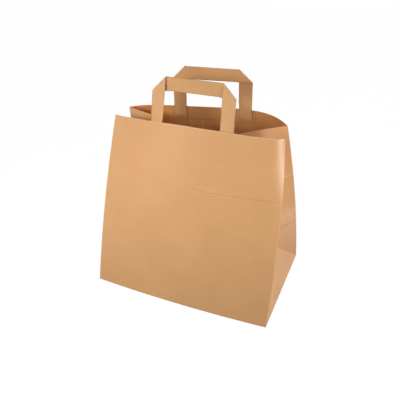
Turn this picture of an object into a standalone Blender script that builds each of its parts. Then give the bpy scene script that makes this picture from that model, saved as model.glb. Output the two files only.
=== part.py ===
# A paper carrier bag that stands open: one folded kraft sheet with a block bottom,
# two flat handles folded from paper tape, and the paper strip that backs each handle
# inside the rim. Metres, +Z up. The origin is on the floor at the middle of the base,
# the front looks along -Y, and the glued seam of the sheet is in the back panel.

import math
from collections import namedtuple

import bmesh
import bpy
from mathutils import Vector

# The sheet as it is cut and folded
BAG_WIDTH = 0.260           # front and back panel, between their folds
BAG_DEPTH = 0.170           # gusset, with its centre crease in the middle
BAG_HEIGHT = 0.250          # along the paper, from the base fold to the rim
PAPER = 0.00013             # one layer of kraft paper
BASE_OVERLAP = 0.030        # how far the two base flaps lie over each other
SEAM_PLACE = -0.011         # outer edge of the glued seam, from the middle of the back
SEAM_OVERLAP = 0.019        # the glued band of the seam
SEAM_FADE = 0.026           # where the lapped layer settles back into the panel
CUT_EDGE = 0.0003           # width of the step at a cut paper edge

# How the opened bag stands
FOOT_BOW = 0.004            # the long base folds bulge outwards in the middle
FRONT_BOW = 0.024           # the front rim bulges forwards
BACK_BOW = 0.0225           # the back rim bulges backwards
BACK_SKEW = 0.0145          # and more so on the right than on the left
GUSSET_LEAN = math.radians(30.0)    # the triangle at the foot of each gusset leans in

# A fold between two panels: side and face say which corner of the base it rises from,
# pinch and lean how far its top has moved in, early how much of the lean is taken in the
# lower half (0.5 is a straight fold), and sag how much lower its curled corner stands
Fold = namedtuple("Fold", "side face pinch lean early sag")
FRONT_LEFT = Fold(-1, -1, 0.004, 0.083, 0.39, 0.004)
FRONT_RIGHT = Fold(1, -1, 0.008, 0.059, 0.89, 0.0015)
BACK_RIGHT = Fold(1, 1, 0.0165, 0.066, 0.50, 0.0)
BACK_LEFT = Fold(-1, 1, 0.017, 0.070, 0.50, 0.0)

# A gusset at the rim: its two folds, the angle at which its front half runs inwards, the
# paper that its curves take up, and how far its front half bulges forwards and its back
# half backwards
Gusset = namedtuple("Gusset", "side front back tuck slack front_bulge back_bulge")
RIGHT_GUSSET = Gusset(1, FRONT_RIGHT, BACK_RIGHT, math.radians(1.5), 0.004, 0.006, 0.003)
LEFT_GUSSET = Gusset(-1, FRONT_LEFT, BACK_LEFT, math.radians(5.0), 0.0157, 0.010, -0.0025)

# Handles of folded paper tape, glued by the feet of their legs
TAPE_WIDTH = 0.018
TAPE_THICKNESS = 0.00045
GLUED_LENGTH = 0.015        # leg below the rim
FOLD_RADIUS = 0.0005        # inside the 45 degree folds, to the middle of the tape
UNTWIST = 0.012             # above this the legs have turned from the panel into one plane

# A handle: the middle of its legs from the middle of the bag, the span over them at the
# rim, the height of its top edge above the rim, how much higher it is on the left, its
# lean into the bag, how far each leg leans towards the other, how far both tip to the
# right, and the angle at which the grip between them springs away from the legs
Handle = namedtuple("Handle", "face place span rise slant lean splay tip spring")
FRONT_HANDLE = Handle(-1, 0.0045, 0.117, 0.0575, 0.0005, math.radians(6.0),
                      math.radians(1.9), math.radians(4.1), math.radians(12.0))
REAR_HANDLE = Handle(1, 0.0043, 0.1087, 0.058, 0.0012, math.radians(10.0),
                     math.radians(1.0), math.radians(3.6), math.radians(0.0))

# Backing strips between the legs and the panel
STRIP_HEIGHT = 0.020        # below the rim
STRIP_MARGIN = 0.004        # beyond the legs
CLEARANCE = 0.0003          # between a glued piece and what it lies on

# How finely the sheet is divided
TRIANGLE_ROWS = 5           # rows in the foot triangle of a gusset, and its columns
UPPER_ROWS = 6              # rows from the triangle's tip to the backing strip
PANEL_COLUMNS = 12
GRIP_LINES = (0.04, 0.35, 0.65, 0.96)   # lines across the grip, as shares of its length

FOOT = 2 * PAPER            # the base fold's height: the two flaps lie below it
EVEN_LIMIT = 2.5            # how far a sharp fold may stretch the paper's thickness
TINY = 1e-6                 # columns closer than this are the same
SLOPE_STEP = 0.01           # share of a panel over which its slope is taken
SHARP_ANGLE = math.radians(20)
TURN_ANGLES = (math.radians(60), math.radians(120), math.radians(180))

KRAFT = (0.62, 0.35, 0.165, 1.0)
KRAFT_TAPE = (0.60, 0.34, 0.16, 1.0)
KRAFT_STRIP = (0.50, 0.27, 0.12, 1.0)


def clear_scene():
    for item in list(bpy.data.objects):
        bpy.data.objects.remove(item, do_unlink=True)


def paper_material(name, color):
    material = bpy.data.materials.new(name)
    material.use_nodes = True
    shader = material.node_tree.nodes["Principled BSDF"]
    shader.inputs["Base Color"].default_value = color
    shader.inputs["Roughness"].default_value = 0.8
    shader.inputs["Metallic"].default_value = 0.0
    return material


# Shape of the opened sheet

def fold_point(fold, height):
    share = height / BAG_HEIGHT
    pinch = fold.pinch * share ** 2
    lean = fold.lean * (2 * fold.early * share * (1 - share) + share ** 2)
    rise = math.sqrt(BAG_HEIGHT ** 2 - fold.pinch ** 2 - fold.lean ** 2) - fold.sag
    x = fold.side * (BAG_WIDTH / 2 - pinch)
    y = fold.face * (BAG_DEPTH / 2 - lean)
    return Vector((x, y, FOOT + rise * share))


# A panel runs between two folds; across is -1 on its left fold and 1 on its right one
Panel = namedtuple("Panel", "left right face bow power skew")
FRONT_PANEL = Panel(FRONT_LEFT, FRONT_RIGHT, -1, FRONT_BOW, 2, 0.0)
BACK_PANEL = Panel(BACK_LEFT, BACK_RIGHT, 1, BACK_BOW, 4, BACK_SKEW)


def bowed_point(panel, across, share):
    height = BAG_HEIGHT * share
    left = fold_point(panel.left, height)
    right = fold_point(panel.right, height)
    point = left.lerp(right, (across + 1) / 2)
    bow = (FOOT_BOW + (panel.bow - FOOT_BOW) * share) * (1 - abs(across) ** panel.power)
    skew = panel.skew * share * across * (1 - across ** 2)
    point.y += panel.face * (bow + skew)
    return point


def panel_point(panel, across, height):
    share = height / BAG_HEIGHT
    point = bowed_point(panel, across, share)
    # Every column of the panel keeps its length of paper, so a bowed one rises higher
    travel = bowed_point(panel, across, 1) - bowed_point(panel, across, 0)
    sag = abs(across) * (panel.left.sag if across < 0 else panel.right.sag)
    rise = math.sqrt(BAG_HEIGHT ** 2 - travel.x ** 2 - travel.y ** 2) - sag
    point.z = FOOT + rise * share
    return point


def panel_inside(panel, across, height, depth):
    # The point that lies depth behind the outer face of the panel, inside the bag
    sideways = (panel_point(panel, across + SLOPE_STEP, height)
                - panel_point(panel, across - SLOPE_STEP, height))
    upwards = (panel_point(panel, across, height)
               - panel_point(panel, across, height - SLOPE_STEP * BAG_HEIGHT))
    outward = sideways.cross(upwards).normalized()
    return panel_point(panel, across, height) + panel.face * depth * outward


def panel_of(handle):
    return FRONT_PANEL if handle.face == FRONT_PANEL.face else BACK_PANEL


def across_at_rim(panel, x):
    left = fold_point(panel.left, BAG_HEIGHT).x
    right = fold_point(panel.right, BAG_HEIGHT).x
    return 2 * (x - left) / (right - left) - 1


def gusset_tip(gusset):
    # Top of the foot triangle, where the centre crease begins
    inset = BAG_DEPTH / 2 * math.sin(GUSSET_LEAN)
    rise = BAG_DEPTH / 2 * math.cos(GUSSET_LEAN)
    return Vector((gusset.side * (BAG_WIDTH / 2 - inset), 0.0, FOOT + rise))


def crease_top(gusset):
    # The front half runs inwards from the front fold, and the crease keeps its length
    reach = BAG_DEPTH / 2 - gusset.slack
    corner = fold_point(gusset.front, BAG_HEIGHT)
    tip = gusset_tip(gusset)
    x = corner.x - gusset.side * reach * math.cos(gusset.tuck)
    y = corner.y + reach * math.sin(gusset.tuck)
    length = BAG_HEIGHT - BAG_DEPTH / 2
    climb = math.sqrt(length ** 2 - (x - tip.x) ** 2 - (y - tip.y) ** 2)
    return Vector((x, y, tip.z + climb))


def gusset_row(gusset, fold, row, height):
    # One half of a gusset from its fold to the centre, TRIANGLE_ROWS steps
    tip = gusset_tip(gusset)
    edge = fold_point(fold, height)
    if row > TRIANGLE_ROWS:
        climbed = (height - BAG_DEPTH / 2) / (BAG_HEIGHT - BAG_DEPTH / 2)
        crease = tip.lerp(crease_top(gusset), climbed)
        points = [edge.lerp(crease, step / TRIANGLE_ROWS) for step in range(TRIANGLE_ROWS + 1)]
        bulge = -gusset.front_bulge if fold is gusset.front else gusset.back_bulge
        for step, point in enumerate(points):
            share = step / TRIANGLE_ROWS
            point.y += bulge * climbed * 4 * share * (1 - share)
        return points
    # Below its tip the foot triangle lies between the two diagonal creases
    near = fold_point(fold, 0.0).lerp(tip, row / TRIANGLE_ROWS)
    other = gusset.back if fold is gusset.front else gusset.front
    far = fold_point(other, 0.0).lerp(tip, row / TRIANGLE_ROWS)
    points = [edge.lerp(near, step / row) for step in range(row)]
    width = 2 * (TRIANGLE_ROWS - row)
    points += [near.lerp(far, step / max(width, 1)) for step in range(TRIANGLE_ROWS - row + 1)]
    return points


# Columns of the two panels: even ones, and one on each edge of a leg or backing strip

def leg_edges(handle):
    # Across the bag at the rim: left leg outside and inside, right leg inside and outside
    left = handle.place - handle.span / 2
    right = handle.place + handle.span / 2
    return [left, left + TAPE_WIDTH, right - TAPE_WIDTH, right]


def strip_edges(handle):
    edges = leg_edges(handle)
    return [edges[0] - STRIP_MARGIN, edges[-1] + STRIP_MARGIN]


def seam_edges():
    inner = SEAM_PLACE - SEAM_OVERLAP
    return [inner - SEAM_FADE, inner, inner + CUT_EDGE, SEAM_PLACE - CUT_EDGE, SEAM_PLACE]


def panel_columns(handle):
    places = leg_edges(handle) + strip_edges(handle)
    if handle is REAR_HANDLE:
        places += seam_edges()
    fixed = [across_at_rim(panel_of(handle), x) for x in places]
    spacing = 2 / PANEL_COLUMNS
    even = [-1 + spacing * number for number in range(1, PANEL_COLUMNS)]
    free = [across for across in even if min(abs(across - other) for other in fixed) > spacing / 3]
    return sorted([-1.0, 1.0] + fixed + free)


def row_heights():
    heights = [BAG_DEPTH / 2 * row / TRIANGLE_ROWS for row in range(TRIANGLE_ROWS + 1)]
    start = BAG_DEPTH / 2
    span = BAG_HEIGHT - STRIP_HEIGHT - start
    heights += [start + span * row / UPPER_ROWS for row in range(1, UPPER_ROWS + 1)]
    return heights + [BAG_HEIGHT - GLUED_LENGTH, BAG_HEIGHT]


def ring_points(row, height):
    # Once around the bag at one height, counterclockwise from the front left fold
    front = [panel_point(FRONT_PANEL, across, height) for across in panel_columns(FRONT_HANDLE)]
    back = [panel_point(BACK_PANEL, across, height) for across in panel_columns(REAR_HANDLE)]
    right_front = gusset_row(RIGHT_GUSSET, FRONT_RIGHT, row, height)
    right_back = gusset_row(RIGHT_GUSSET, BACK_RIGHT, row, height)
    left_back = gusset_row(LEFT_GUSSET, BACK_LEFT, row, height)
    left_front = gusset_row(LEFT_GUSSET, FRONT_LEFT, row, height)
    ring = front + right_front[1:] + right_back[-2:0:-1]
    ring += back[::-1] + left_back[1:] + left_front[-2:0:-1]
    return ring


def seam_lift(across):
    # Share of one paper layer by which the lapped layer stands out of the back panel,
    # on the outer face and on the inner face
    fade, inner, inner_end, outer_end, outer = [
        across_at_rim(BACK_PANEL, x) for x in seam_edges()]
    if across <= inner:
        lift = max(0.0, (across - fade) / (inner - fade))
        return lift, lift
    if across <= outer_end + TINY:
        return 1.0, 0.0
    return 0.0, 0.0


def face_normals(rings):
    # Outward normal of each quad of the wall, by row and column
    count = len(rings[0])
    normals = []
    for low, high in zip(rings, rings[1:]):
        line = []
        for column in range(count):
            after = (column + 1) % count
            rising = high[after] - low[column]
            falling = low[after] - high[column]
            line.append(falling.cross(rising).normalized())
        normals.append(line)
    return normals


def even_normal(around):
    # Mean of the normals around a point, stretched so that sharp folds stay thick
    total = sum(around, Vector())
    mean = total.normalized()
    spread = sum(mean.dot(normal) for normal in around) / len(around)
    return mean * min(EVEN_LIMIT, 1 / max(spread, TINY))


def corner_columns():
    # Column numbers of the four folds, in the order of ring_points
    front = len(panel_columns(FRONT_HANDLE))
    back = len(panel_columns(REAR_HANDLE))
    front_right = front - 1
    back_right = front_right + 2 * TRIANGLE_ROWS
    back_left = back_right + back - 1
    return 0, front_right, back_right, back_left


def split_forward(column, corners):
    # A quad of the wall is split along its rising diagonal, except where the crease
    # of a foot triangle falls towards the next fold
    front_left, front_right, back_right, back_left = corners
    in_right_back = front_right + TRIANGLE_ROWS <= column < back_right
    in_left_front = column >= back_left + TRIANGLE_ROWS
    return not (in_right_back or in_left_front)


def add_quad(mesh, low_left, low_right, high_right, high_left, forward):
    if forward:
        mesh.faces.new((low_left, low_right, high_right))
        mesh.faces.new((low_left, high_right, high_left))
    else:
        mesh.faces.new((low_left, low_right, high_left))
        mesh.faces.new((low_right, high_right, high_left))


def finish(mesh, name, material):
    bmesh.ops.recalc_face_normals(mesh, faces=mesh.faces[:])
    data = bpy.data.meshes.new(name)
    mesh.to_mesh(data)
    mesh.free()
    data.materials.append(material)
    data.shade_smooth()
    data.set_sharp_from_angle(angle=SHARP_ANGLE)
    item = bpy.data.objects.new(name, data)
    bpy.context.collection.objects.link(item)
    return item


def build_bag():
    heights = row_heights()
    rings = [ring_points(row, height) for row, height in enumerate(heights)]
    corners = corner_columns()
    front_left, front_right, back_right, back_left = corners
    back_across = panel_columns(REAR_HANDLE)[::-1]
    normals = face_normals(rings)
    count = len(rings[0])
    mesh = bmesh.new()
    outer = []
    inner = []
    for row, ring in enumerate(rings):
        outer_row = []
        inner_row = []
        for column, point in enumerate(ring):
            rows = [line for line in (row - 1, row) if 0 <= line < len(normals)]
            around = [normals[line][(column + shift) % count] for line in rows for shift in (-1, 0)]
            normal = even_normal(around)
            lift_out, lift_in = 0.0, 0.0
            if back_right < column < back_left:
                lift_out, lift_in = seam_lift(back_across[column - back_right])
            if row == 0:
                normal = Vector((normal.x, normal.y, 0)).normalized()
            outside = point + normal * PAPER * lift_out
            inside = point - normal * PAPER * (1 - lift_in)
            if row == 0:
                inside.z = FOOT + PAPER
            outer_row.append(mesh.verts.new(outside))
            inner_row.append(mesh.verts.new(inside))
        outer.append(outer_row)
        inner.append(inner_row)
    for row in range(len(rings) - 1):
        for column in range(count):
            after = (column + 1) % count
            forward = split_forward(column, corners)
            add_quad(mesh, outer[row][column], outer[row][after],
                     outer[row + 1][after], outer[row + 1][column], forward)
            add_quad(mesh, inner[row][after], inner[row][column],
                     inner[row + 1][column], inner[row + 1][after], not forward)
    for column in range(count):
        after = (column + 1) % count
        mesh.faces.new((outer[-1][column], outer[-1][after], inner[-1][after], inner[-1][column]))
    mesh.faces.new(inner[0])
    add_base(mesh, outer[0], corners)
    return finish(mesh, "bag_body", paper_material("Kraft paper", KRAFT))


def add_base(mesh, foot, corners):
    # Underside of the block bottom: the ends of the gussets lie deepest, the back flap
    # lies over them, and the front flap over both, with its sides at 45 degrees
    front_left, front_right, back_right, back_left = corners
    half_width = BAG_WIDTH / 2
    half_depth = BAG_DEPTH / 2
    half_overlap = BASE_OVERLAP / 2
    meeting = half_width - half_depth
    flap_end = meeting - half_overlap
    front_edge = foot[front_left:front_right + 1]
    back_edge = foot[back_right:back_left + 1]
    right_edge = foot[front_right:back_right + 1]
    left_edge = foot[back_left:] + [foot[0]]

    front_low = [mesh.verts.new((vert.co.x, vert.co.y, 0.0)) for vert in front_edge]
    back_low = [mesh.verts.new((vert.co.x, vert.co.y, PAPER)) for vert in back_edge]
    right_meet = [mesh.verts.new((meeting, 0.0, level * PAPER)) for level in range(3)]
    left_meet = [mesh.verts.new((-meeting, 0.0, level * PAPER)) for level in range(3)]
    right_end = [mesh.verts.new((flap_end, half_overlap, level * PAPER)) for level in range(2)]
    left_end = [mesh.verts.new((-flap_end, half_overlap, level * PAPER)) for level in range(2)]

    # Folded edges of the flaps, just under the base fold
    for upper, lower in ((front_edge, front_low), (back_edge, back_low)):
        for number in range(len(upper) - 1):
            mesh.faces.new((lower[number], lower[number + 1], upper[number + 1], upper[number]))

    # The faces that look down
    mesh.faces.new(front_low[::-1] + [left_meet[0], left_end[0], right_end[0], right_meet[0]])
    mesh.faces.new(back_low[::-1] + [right_meet[1], right_end[1], left_end[1], left_meet[1]])
    mesh.faces.new(right_edge[::-1] + [right_meet[2]])
    mesh.faces.new(left_edge[::-1] + [left_meet[2]])

    # The steps between them
    mesh.faces.new((front_low[-1], front_edge[-1], right_meet[2], right_meet[1], right_meet[0]))
    mesh.faces.new((front_edge[0], front_low[0], left_meet[0], left_meet[1], left_meet[2]))
    mesh.faces.new((back_edge[0], back_low[0], right_meet[1], right_meet[2]))
    mesh.faces.new((back_low[-1], back_edge[-1], left_meet[2], left_meet[1]))
    mesh.faces.new((right_meet[0], right_meet[1], right_end[1], right_end[0]))
    mesh.faces.new((right_end[0], right_end[1], left_end[1], left_end[0]))
    mesh.faces.new((left_end[0], left_end[1], left_meet[1], left_meet[0]))


def build_slab(name, front_grid, back_grid, material):
    # A closed sheet between two grids of points of the same size
    mesh = bmesh.new()
    front = [[mesh.verts.new(point) for point in line] for line in front_grid]
    back = [[mesh.verts.new(point) for point in line] for line in back_grid]
    lines = len(front)
    width = len(front[0])
    for line in range(lines - 1):
        for place in range(width - 1):
            add_quad(mesh, front[line][place], front[line][place + 1],
                     front[line + 1][place + 1], front[line + 1][place], True)
            add_quad(mesh, back[line][place + 1], back[line][place],
                     back[line + 1][place], back[line + 1][place + 1], False)
        for place, flip in ((0, True), (width - 1, False)):
            side = [front[line][place], front[line + 1][place], back[line + 1][place], back[line][place]]
            mesh.faces.new(side[::-1] if flip else side)
    for line, flip in ((0, False), (lines - 1, True)):
        for place in range(width - 1):
            end = [front[line][place], front[line][place + 1], back[line][place + 1], back[line][place]]
            mesh.faces.new(end[::-1] if flip else end)
    return finish(mesh, name, material)


def build_backing_strip(name, handle):
    panel = panel_of(handle)
    limits = [across_at_rim(panel, x) for x in strip_edges(handle)]
    across = [place for place in panel_columns(handle)
              if limits[0] - TINY <= place <= limits[1] + TINY]
    heights = [BAG_HEIGHT - STRIP_HEIGHT, BAG_HEIGHT - GLUED_LENGTH, BAG_HEIGHT]
    near = PAPER + CLEARANCE
    far = near + PAPER
    outside = [[panel_inside(panel, place, height, near) for place in across] for height in heights]
    inside = [[panel_inside(panel, place, height, far) for place in across] for height in heights]
    return build_slab(name, outside, inside, paper_material("Kraft strip", KRAFT_STRIP))


def glued_point(handle, x, above):
    # A point on the middle of the tape at or below the rim, where it follows the panel
    depth = 2 * PAPER + 2 * CLEARANCE + TAPE_THICKNESS / 2
    panel = panel_of(handle)
    return panel_inside(panel, across_at_rim(panel, x), BAG_HEIGHT + above, depth)


def handle_plane(handle):
    # The plane in which the handle stands above the rim: its middle there, and the
    # directions across it, up it and into the bag
    edges = leg_edges(handle)
    left = (glued_point(handle, edges[0], 0) + glued_point(handle, edges[1], 0)) / 2
    right = (glued_point(handle, edges[2], 0) + glued_point(handle, edges[3], 0)) / 2
    across = (right - left).normalized()
    level = Vector((-across.y, across.x, 0.0)).normalized() * -handle.face
    lean = Vector((0.0, 0.0, math.cos(handle.lean))) + level * math.sin(handle.lean)
    up = (lean - lean.dot(across) * across).normalized()
    inward = level - level.dot(across) * across
    inward = (inward - inward.dot(up) * up).normalized()
    return (left + right) / 2, across, up, inward


def leg_point(handle, x, above):
    # A point on the middle of the tape, at x across the rim and above it by so much
    if above <= 0:
        return glued_point(handle, x, above)
    middle, across, up, inward = handle_plane(handle)
    side = 1 if x > handle.place else -1
    drift = above * (math.tan(handle.tip) - side * math.tan(handle.splay))
    flat = middle + (x - handle.place + drift) * across + above * up
    curved = glued_point(handle, x, 0) + above * up + drift * across
    return curved.lerp(flat, min(1.0, above / UNTWIST))


def build_handle(name, handle):
    edges = leg_edges(handle)
    inward = handle_plane(handle)[3]
    lines = []
    folds = []
    for side, outside, inside in ((-1, edges[0], edges[1]), (1, edges[3], edges[2])):
        top = handle.rise - side * handle.slant
        leg = [(leg_point(handle, outside, above), leg_point(handle, inside, above))
               for above in (-GLUED_LENGTH, 0.0, UNTWIST)]
        low = leg_point(handle, outside, top - TAPE_WIDTH)
        high = leg_point(handle, inside, top)
        leg.append((low, high))
        # The tape turns round the fold and comes back behind the leg
        away = (high - low).cross(inward).normalized()
        if away.z < 0:
            away = -away
        turn = []
        for angle in TURN_ANGLES:
            shift = FOLD_RADIUS * (math.sin(angle) * away + (1 - math.cos(angle)) * inward)
            turn.append((low + shift, high + shift))
        lines.append(leg)
        folds.append(turn)
    left_low, left_high = folds[0][-1]
    right_low, right_high = folds[1][-1]
    grip = []
    for share in GRIP_LINES:
        reach = (TAPE_WIDTH + share * (handle.span - 2 * TAPE_WIDTH)) / handle.span
        high = left_high.lerp(right_high, share)
        down = left_low.lerp(right_low, reach) - high
        turned = math.cos(handle.spring) * down + math.sin(handle.spring) * down.length * inward
        grip.append((high + turned, high))
    path = lines[0] + folds[0] + grip + folds[1][::-1] + lines[1][::-1]
    normals = [(after[0] + after[1] - line[0] - line[1]).cross(line[1] - line[0]).normalized()
               for line, after in zip(path, path[1:])]
    front = []
    back = []
    for number, line in enumerate(path):
        around = normals[max(number - 1, 0):number + 1]
        normal = even_normal(around) * TAPE_THICKNESS / 2
        front.append([point + normal for point in line])
        back.append([point - normal for point in line])
    return build_slab(name, front, back, paper_material("Kraft tape", KRAFT_TAPE))


def main():
    clear_scene()
    build_bag()
    build_backing_strip("front_backing_strip", FRONT_HANDLE)
    build_backing_strip("rear_backing_strip", REAR_HANDLE)
    build_handle("front_handle", FRONT_HANDLE)
    build_handle("rear_handle", REAR_HANDLE)


main()
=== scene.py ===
# Kraft paper carrier bag with flat handles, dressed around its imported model.
# Metres, +Z up, the plain front panel looks along -Y.
import math
from collections import namedtuple

import bmesh
import bpy
from mathutils import Matrix, Vector, noise


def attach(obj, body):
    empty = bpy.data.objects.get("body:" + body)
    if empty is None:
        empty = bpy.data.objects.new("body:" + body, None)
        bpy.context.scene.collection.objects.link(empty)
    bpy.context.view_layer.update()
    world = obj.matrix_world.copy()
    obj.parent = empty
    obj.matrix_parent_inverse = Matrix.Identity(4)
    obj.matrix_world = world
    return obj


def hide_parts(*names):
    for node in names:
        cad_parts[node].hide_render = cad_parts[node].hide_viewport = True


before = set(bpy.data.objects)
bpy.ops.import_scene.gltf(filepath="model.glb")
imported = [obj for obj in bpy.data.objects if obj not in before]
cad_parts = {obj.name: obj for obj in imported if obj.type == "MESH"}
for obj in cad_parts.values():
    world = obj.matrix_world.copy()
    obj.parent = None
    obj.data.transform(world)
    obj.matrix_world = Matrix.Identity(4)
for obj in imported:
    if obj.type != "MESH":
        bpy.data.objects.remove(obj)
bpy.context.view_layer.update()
print("frame loaded:", ", ".join(sorted(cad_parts)))


# Camera, from the perspective of the base and the upright folds

camera = {
    "place": (0.23191, -0.51725, 0.44731),
    "turn": 0.4205283,          # radians to the left of straight ahead
    "tilt": 0.5236883,          # radians below level
    "roll": -0.0174533,
    "lens": 41.17,              # millimetres
    "sensor": 36.0,
    "nearest": 0.01,
}


def placeCamera():
    turn, tilt, roll = camera["turn"], camera["tilt"], camera["roll"]
    forward = Vector((-math.sin(turn) * math.cos(tilt), math.cos(turn) * math.cos(tilt),
                      -math.sin(tilt)))
    level = Vector((math.cos(turn), math.sin(turn), 0.0))
    up = level.cross(forward)
    right = math.cos(roll) * level + math.sin(roll) * up
    up = math.cos(roll) * up - math.sin(roll) * level
    data = bpy.data.cameras.new("photoCamera")
    data.lens = camera["lens"]
    data.sensor_width = camera["sensor"]
    data.clip_start = camera["nearest"]
    item = bpy.data.objects.new("photoCamera", data)
    pose = Matrix((right, up, -forward)).transposed().to_4x4()
    pose.translation = Vector(camera["place"])
    item.matrix_world = pose
    bpy.context.collection.objects.link(item)
    bpy.context.scene.camera = item


placeCamera()
print("camera placed")


# Helpers for the paper and its surface

def smooth(value):
    value = max(0.0, min(1.0, value))
    return value * value * (3 - 2 * value)


def nodeOf(tree, kind, **values):
    node = tree.nodes.new(kind)
    for name, value in values.items():
        setattr(node, name, value)
    return node


def mathNode(tree, operation, first, second=None):
    node = nodeOf(tree, "ShaderNodeMath", operation=operation)
    for socket, value in zip(node.inputs, (first, second)):
        if value is None:
            continue
        if isinstance(value, (int, float)):
            socket.default_value = value
        else:
            tree.links.new(value, socket)
    return node.outputs[0]


def noiseNode(tree, coordinates, scale, detail=2.0, roughness=0.5):
    node = nodeOf(tree, "ShaderNodeTexNoise")
    node.inputs["Scale"].default_value = scale
    node.inputs["Detail"].default_value = detail
    node.inputs["Roughness"].default_value = roughness
    tree.links.new(coordinates, node.inputs["Vector"])
    return node.outputs["Fac"]


def stretched(tree, coordinates, scale):
    # Coordinates for a pattern with its own size along and across the sheet
    node = nodeOf(tree, "ShaderNodeVectorMath", operation="MULTIPLY")
    node.inputs[1].default_value = scale
    tree.links.new(coordinates, node.inputs[0])
    return node.outputs[0]


def rangeNode(tree, value, low, high, toLow, toHigh):
    node = nodeOf(tree, "ShaderNodeMapRange", interpolation_type="SMOOTHSTEP")
    names = "From Min", "From Max", "To Min", "To Max"
    for name, number in zip(names, (low, high, toLow, toHigh)):
        node.inputs[name].default_value = number
    tree.links.new(value, node.inputs["Value"])
    return node.outputs["Result"]


def mixNode(tree, factor, first, second):
    node = nodeOf(tree, "ShaderNodeMix", data_type="RGBA")
    sockets = node.inputs[0], node.inputs[6], node.inputs[7]        # factor and the two colours
    for socket, value in zip(sockets, (factor, first, second)):
        if isinstance(value, bpy.types.NodeSocket):
            tree.links.new(value, socket)
        elif isinstance(value, (int, float)):
            socket.default_value = value
        else:
            socket.default_value = (*value, 1.0)
    return node.outputs[2]


# Kraft paper. Its pattern lies in the flat sheet's own metres, kept as the map flatSheet

kraft = {
    "pale": (0.710, 0.375, 0.155),
    "deep": (0.665, 0.344, 0.138),
    # Inner face: the same paper painted more saturated, as painted shade for the light reflected
    # between the bag's walls
    "innerShadedPale": (0.785, 0.348, 0.120),
    "innerShadedDeep": (0.730, 0.312, 0.104),
    # Dark specks of the paper, also used for painted shade beside creases and along edges
    "fleckAndShade": (0.36, 0.18, 0.07),
    "wornAndHighlight": (0.86, 0.60, 0.38),     # pale lines: rubbed wear and painted highlight along folds, painted highlight at the rim and beside creases
    "glazed": (0.37, 0.55),         # roughness and specular level of the smooth outer side
    "rough": (0.75, 0.25),          # and of the inner side
    "clouds": 16.0,                 # scales of the uneven tone, from wide to fine
    "formation": 260.0,
    "fibres": (2400.0, 420.0, 1.0),
    "specks": (1500.0, 700.0, 1.0),
    "shares": (0.55, 0.25, 0.20),   # of clouds, formation and fibres in the tone
    "markGapScale": 90.0,                # scale of the gaps in the painted crease lines
    "markEnd": 0.010,               # length over which a painted crease line begins
    # Pale lines along the folds, partly rubbed wear and partly painted highlight, and a painted
    # highlight along the rim
    "foldWidth": 0.0009,
    "foldWearAndHighlight": 0.65,
    "diagonalWearAndHighlight": 0.45,
    "rimHighlight": 0.60,
    "rimBand": (0.0011, 0.0004),    # below the rim, where its painted highlight begins and is whole
    # Dark lines of painted shade along the edges and ends of tapes and strips
    "edgeShade": 0.55,
    "edgeBand": (0.0003, 0.0011),
    "grain": 0.06,                  # strength of the fibres' relief
    "grainHeight": 0.0006,
}

# Lines of painted shade (dark) and painted highlight (pale) beside creases and wrinkles, and broad
# painted highlight bands on the gussets: start and end on the flat sheet, half width, strength and
# colour
Mark = namedtuple("Mark", "start end width strength tone")
creaseShadeAndHighlights = [
    # Painted shade and highlight beside the front panel's pressed line and its wrinkles
    Mark((0.134, 0.1685), (0.260, 0.1666), 0.0009, 0.30, "fleckAndShade"),
    Mark((0.158, 0.1708), (0.206, 0.1699), 0.0013, 0.30, "wornAndHighlight"),
    Mark((0.1547, 0.1115), (0.1562, 0.1010), 0.0014, 0.28, "wornAndHighlight"),
    Mark((0.142, 0.1850), (0.149, 0.1900), 0.0016, 0.20, "wornAndHighlight"),
    Mark((0.150, 0.1815), (0.157, 0.1860), 0.0016, 0.18, "wornAndHighlight"),
    Mark((0.174, 0.1905), (0.184, 0.1895), 0.0013, 0.12, "fleckAndShade"),
    Mark((0.176, 0.2070), (0.188, 0.2047), 0.0012, 0.25, "wornAndHighlight"),
    Mark((0.183, 0.107), (0.194, 0.091), 0.0020, 0.12, "fleckAndShade"),
    Mark((0.132, 0.052), (0.146, 0.080), 0.0020, 0.12, "fleckAndShade"),
    Mark((0.129, 0.053), (0.143, 0.081), 0.0018, 0.14, "wornAndHighlight"),
    # Painted shade under the gussets' lower crease
    Mark((0.268, 0.0855), (0.434, 0.0855), 0.0012, 0.80, "fleckAndShade"),
    Mark((0.686, 0.0855), (0.852, 0.0855), 0.0012, 0.80, "fleckAndShade"),
    # Painted highlight along the gussets' upper crease
    Mark((0.350, 0.1700), (0.432, 0.1716), 0.0018, 0.80, "wornAndHighlight"),
    Mark((0.688, 0.1716), (0.770, 0.1700), 0.0018, 0.80, "wornAndHighlight"),
    # Broad painted highlight across the gussets' back halves, above their lower crease
    Mark((0.345, 0.1040), (0.440, 0.1040), 0.0200, 0.34, "wornAndHighlight"),
    Mark((0.680, 0.1040), (0.775, 0.1040), 0.0200, 0.34, "wornAndHighlight"),
]


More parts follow.
